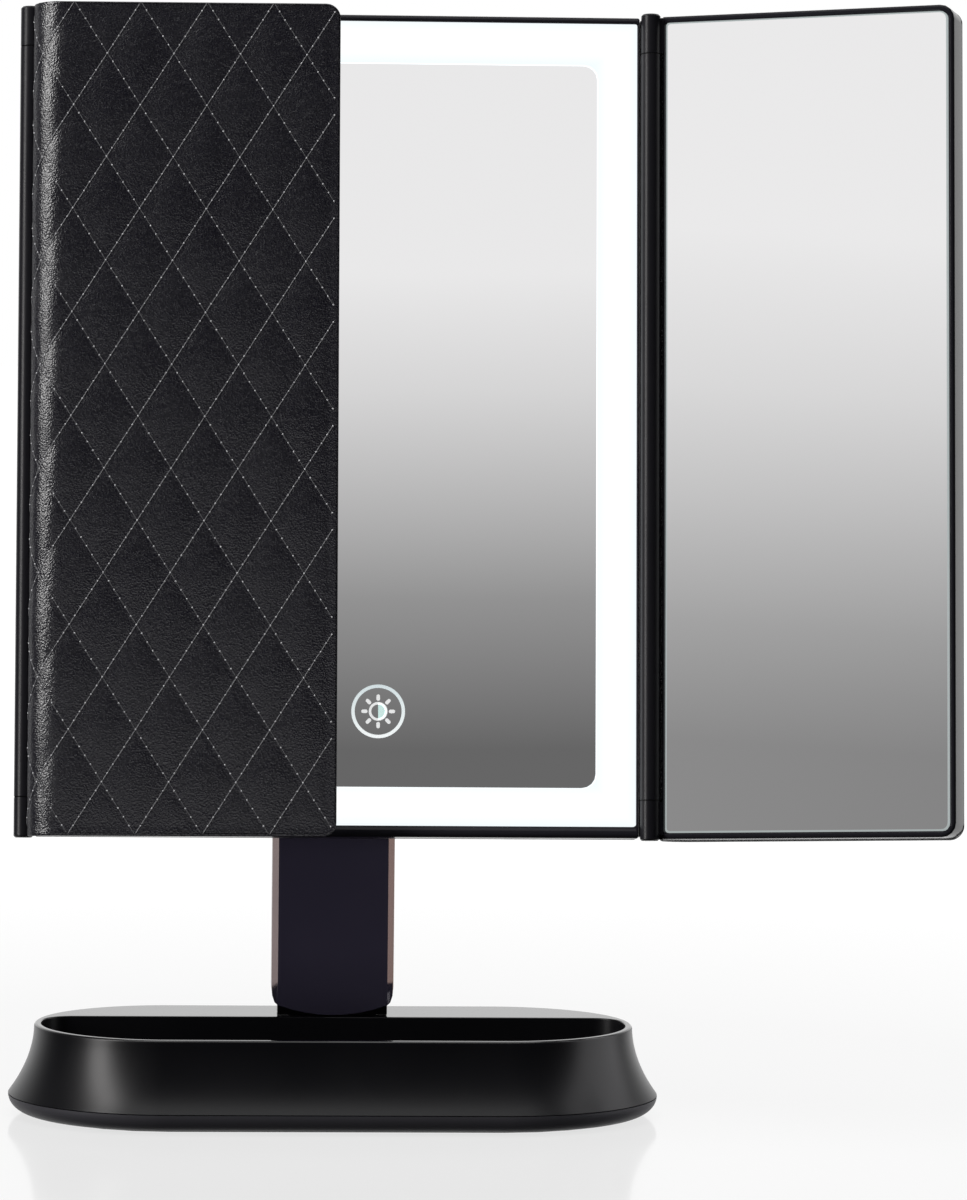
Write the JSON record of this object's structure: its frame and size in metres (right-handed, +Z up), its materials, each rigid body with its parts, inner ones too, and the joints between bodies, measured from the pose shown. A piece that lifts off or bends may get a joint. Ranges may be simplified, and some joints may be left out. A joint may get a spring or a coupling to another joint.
{
  "type": "lighted vanity mirror",
  "caption": "Free-standing tri-fold vanity mirror: lit centre panel, two hinged mirror wings with quilted covers, and a tilting head on a necked tray base.",
  "frame": {"origin": "middle of the base footprint, on the table under the anti-slip pad", "axes": "+X to the right as the user sees it, +Y away from the user, +Z up"},
  "size_m": [0.2824, 0.0958, 0.3339],
  "materials": {
    "gloss_black": "glossy",
    "satin_black": "satin",
    "leatherette": "quilted, fine grain",
    "silvered_glass": "polished",
    "opal_acrylic": "opal, lit from behind",
    "steel": "machined",
    "ballast_iron": "raw",
    "brass": "turned",
    "pad_rubber": "matte",
    "white_plastic": "matte white",
    "circuit_board": "solder mask",
    "battery_wrap": "shrink wrap"
  },
  "bodies": {
    "stand": {"ballast_plate": "ballast_iron", "base_pad": "pad_rubber", "base_plate": "satin_black", "base_screw_front_left": "steel", "base_screw_front_right": "steel", "base_screw_rear_left": "steel", "base_screw_rear_right": "steel", "base_shell": "gloss_black", "neck_collar": "satin_black", "neck_front_shell": "gloss_black", "neck_rear_shell": "gloss_black", "neck_stem": "steel", "stem_screw_left": "steel", "stem_screw_right": "steel"},
    "head": {"axle_nut": "steel", "battery": "battery_wrap", "bracket_screw_lower_left": "steel", "bracket_screw_lower_right": "steel", "bracket_screw_upper_left": "steel", "bracket_screw_upper_right": "steel", "centre_mirror": "silvered_glass", "control_board": "circuit_board", "friction_washer_left": "brass", "friction_washer_right": "brass", "front_frame": "gloss_black", "housing_screw_lower_left": "steel", "housing_screw_lower_right": "steel", "housing_screw_upper_left": "steel", "housing_screw_upper_right": "steel", "led_strip_left": "white_plastic", "led_strip_lower": "white_plastic", "led_strip_right": "white_plastic", "led_strip_upper": "white_plastic", "left_hinge_barrel": "gloss_black", "left_hinge_bush_lower": "brass", "left_hinge_bush_upper": "brass", "light_diffuser": "opal_acrylic", "rear_housing": "satin_black", "reflector_plate": "white_plastic", "right_hinge_barrel": "gloss_black", "right_hinge_bush_lower": "brass", "right_hinge_bush_upper": "brass", "tilt_axle": "steel", "tilt_bracket": "satin_black", "touch_sensor": "circuit_board", "usb_socket": "steel"},
    "left_wing": {"left_hinge_pin_lower": "steel", "left_hinge_pin_upper": "steel", "left_wing_cover": "leatherette", "left_wing_frame": "gloss_black", "left_wing_mirror": "silvered_glass"},
    "right_wing": {"right_hinge_pin_lower": "steel", "right_hinge_pin_upper": "steel", "right_wing_cover": "leatherette", "right_wing_frame": "gloss_black", "right_wing_mirror": "silvered_glass"}
  },
  "joints": [
    {"name": "head_tilt", "type": "hinge", "parent": "stand", "child": "head", "pos_m": [0, 0.02175, 0.1357], "axis": [-1, 0, 0], "range_deg": [-13, 37]},
    {"name": "left_wing_fold", "type": "hinge", "parent": "head", "child": "left_wing", "pos_m": [-0.093, -0.00138, 0.20766], "axis": [0, -0.1404, -0.9901], "range_deg": [-1, 179]},
    {"name": "right_wing_fold", "type": "hinge", "parent": "head", "child": "right_wing", "pos_m": [0.093, -0.00138, 0.20766], "axis": [0, 0.1404, 0.9901], "range_deg": [-161, 19]}
  ]
}
